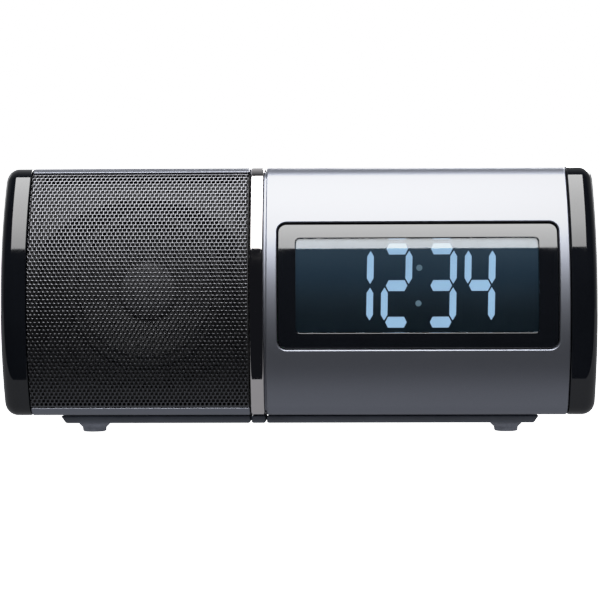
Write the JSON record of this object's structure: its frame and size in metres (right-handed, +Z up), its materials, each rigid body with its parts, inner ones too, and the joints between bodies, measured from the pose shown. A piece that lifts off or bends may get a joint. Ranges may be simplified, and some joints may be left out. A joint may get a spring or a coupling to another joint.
{
  "type": "clock radio",
  "caption": "Curved tube-shaped clock radio with gloss end caps, a perforated speaker grille, a bright centre band, a wrapped silver display panel and press buttons on top.",
  "frame": {"origin": "on the surface it stands on, at the centre of the bounding box", "axes": "+X to the right seen from the front, -Y out of the front face, +Z up"},
  "size_m": [0.21, 0.088, 0.0955],
  "materials": {
    "gloss_black": "polished",
    "satin_silver": "satin metallic paint",
    "button_silver": "satin metallic paint",
    "grille_metal": "satin, perforated",
    "band_chrome": "polished",
    "case_black": "fine moulded texture",
    "inner_black": "matte",
    "rail_grey": "fine moulded texture",
    "rubber": "matte",
    "screw_steel": "zinc plated",
    "cone_paper": "pressed paper",
    "winding": "lacquered copper wire",
    "ferrite": "sintered",
    "window_tint": "polished, dark tint",
    "lcd_glass": "polished",
    "lcd_lit": "glowing segments",
    "diffuser": "satin",
    "board": "solder mask",
    "tinned": "tinned",
    "cell_wrap": "printed sleeve"
  },
  "bodies": {
    "housing": {"left_end_cap": "gloss_black", "right_end_cap": "gloss_black", "grille_frame": "satin_silver", "speaker_grille": "grille_metal", "center_band": "band_chrome", "front_panel": "satin_silver", "rear_shell": "case_black", "bottom_shell": "case_black", "base_rail_left": "rail_grey", "base_rail_middle": "rail_grey", "base_rail_right": "rail_grey", "base_rail_rear": "rail_grey", "foot_front_left": "rubber", "foot_front_right": "rubber", "foot_rear_left": "rubber", "foot_rear_right": "rubber", "case_screw_1": "screw_steel", "case_screw_2": "screw_steel", "case_screw_3": "screw_steel", "case_screw_4": "screw_steel", "chassis_plate": "inner_black", "display_bezel": "gloss_black", "display_window": "window_tint", "lcd_panel": "lcd_glass", "backlight": "diffuser", "display_board": "board", "display_holder": "inner_black", "lcd_segment_layer": "lcd_lit", "speaker_baffle": "inner_black", "speaker_gasket": "rubber", "speaker_basket": "screw_steel", "speaker_surround": "rubber", "spider": "cone_paper", "speaker_top_plate": "screw_steel", "speaker_magnet": "ferrite", "speaker_yoke": "screw_steel", "control_board": "board", "main_board": "board", "tuner_can": "tinned", "ferrite_rod": "ferrite", "dc_jack": "inner_black", "aerial_bush": "rubber", "battery_tray": "inner_black", "battery_cell_lower": "cell_wrap", "battery_cell_upper": "cell_wrap", "battery_contact_left": "tinned", "battery_contact_right": "tinned"},
    "snooze": {"snooze_bar": "button_silver"},
    "cone": {"speaker_cone": "cone_paper", "dust_cap": "cone_paper", "voice_coil": "winding"},
    "battery_cover": {"battery_door": "case_black"},
    "volume_down": {"volume_down_button": "button_silver"},
    "volume_up": {"volume_up_button": "button_silver"},
    "tune_down": {"tune_down_button": "button_silver"},
    "tune_up": {"tune_up_button": "button_silver"},
    "alarm_one": {"alarm_one_button": "button_silver"},
    "alarm_two": {"alarm_two_button": "button_silver"},
    "clock_set": {"clock_set_button": "button_silver"},
    "power": {"power_button": "button_silver"}
  },
  "joints": [
    {"name": "snooze_press", "type": "slide", "parent": "housing", "child": "snooze", "axis": [0, 0, -1], "range_m": [0, 0.001], "stiffness_N_per_m": 600, "springref_m": -0.002},
    {"name": "volume_down_press", "type": "slide", "parent": "housing", "child": "volume_down", "axis": [0, 0, -1], "range_m": [0, 0.001], "stiffness_N_per_m": 400, "springref_m": -0.002},
    {"name": "volume_up_press", "type": "slide", "parent": "housing", "child": "volume_up", "axis": [0, 0, -1], "range_m": [0, 0.001], "stiffness_N_per_m": 400, "springref_m": -0.002},
    {"name": "tune_down_press", "type": "slide", "parent": "housing", "child": "tune_down", "axis": [0, 0, -1], "range_m": [0, 0.001], "stiffness_N_per_m": 400, "springref_m": -0.002},
    {"name": "tune_up_press", "type": "slide", "parent": "housing", "child": "tune_up", "axis": [0, 0, -1], "range_m": [0, 0.001], "stiffness_N_per_m": 400, "springref_m": -0.002},
    {"name": "alarm_one_press", "type": "slide", "parent": "housing", "child": "alarm_one", "axis": [0, 0, -1], "range_m": [0, 0.001], "stiffness_N_per_m": 400, "springref_m": -0.002},
    {"name": "alarm_two_press", "type": "slide", "parent": "housing", "child": "alarm_two", "axis": [0, 0, -1], "range_m": [0, 0.001], "stiffness_N_per_m": 400, "springref_m": -0.002},
    {"name": "clock_set_press", "type": "slide", "parent": "housing", "child": "clock_set", "axis": [0, 0, -1], "range_m": [0, 0.001], "stiffness_N_per_m": 400, "springref_m": -0.002},
    {"name": "power_press", "type": "slide", "parent": "housing", "child": "power", "axis": [0, 0, -1], "range_m": [0, 0.001], "stiffness_N_per_m": 400, "springref_m": -0.002},
    {"name": "cone_travel", "type": "slide", "parent": "housing", "child": "cone", "axis": [0, -1, 0], "range_m": [-0.001, 0.001], "stiffness_N_per_m": 1500},
    {"name": "battery_door_hinge", "type": "hinge", "parent": "housing", "child": "battery_cover", "pos_m": [-0.054, 0.04013, 0.0153], "axis": [-1, 0, 0], "range_deg": [0, 100]}
  ]
}
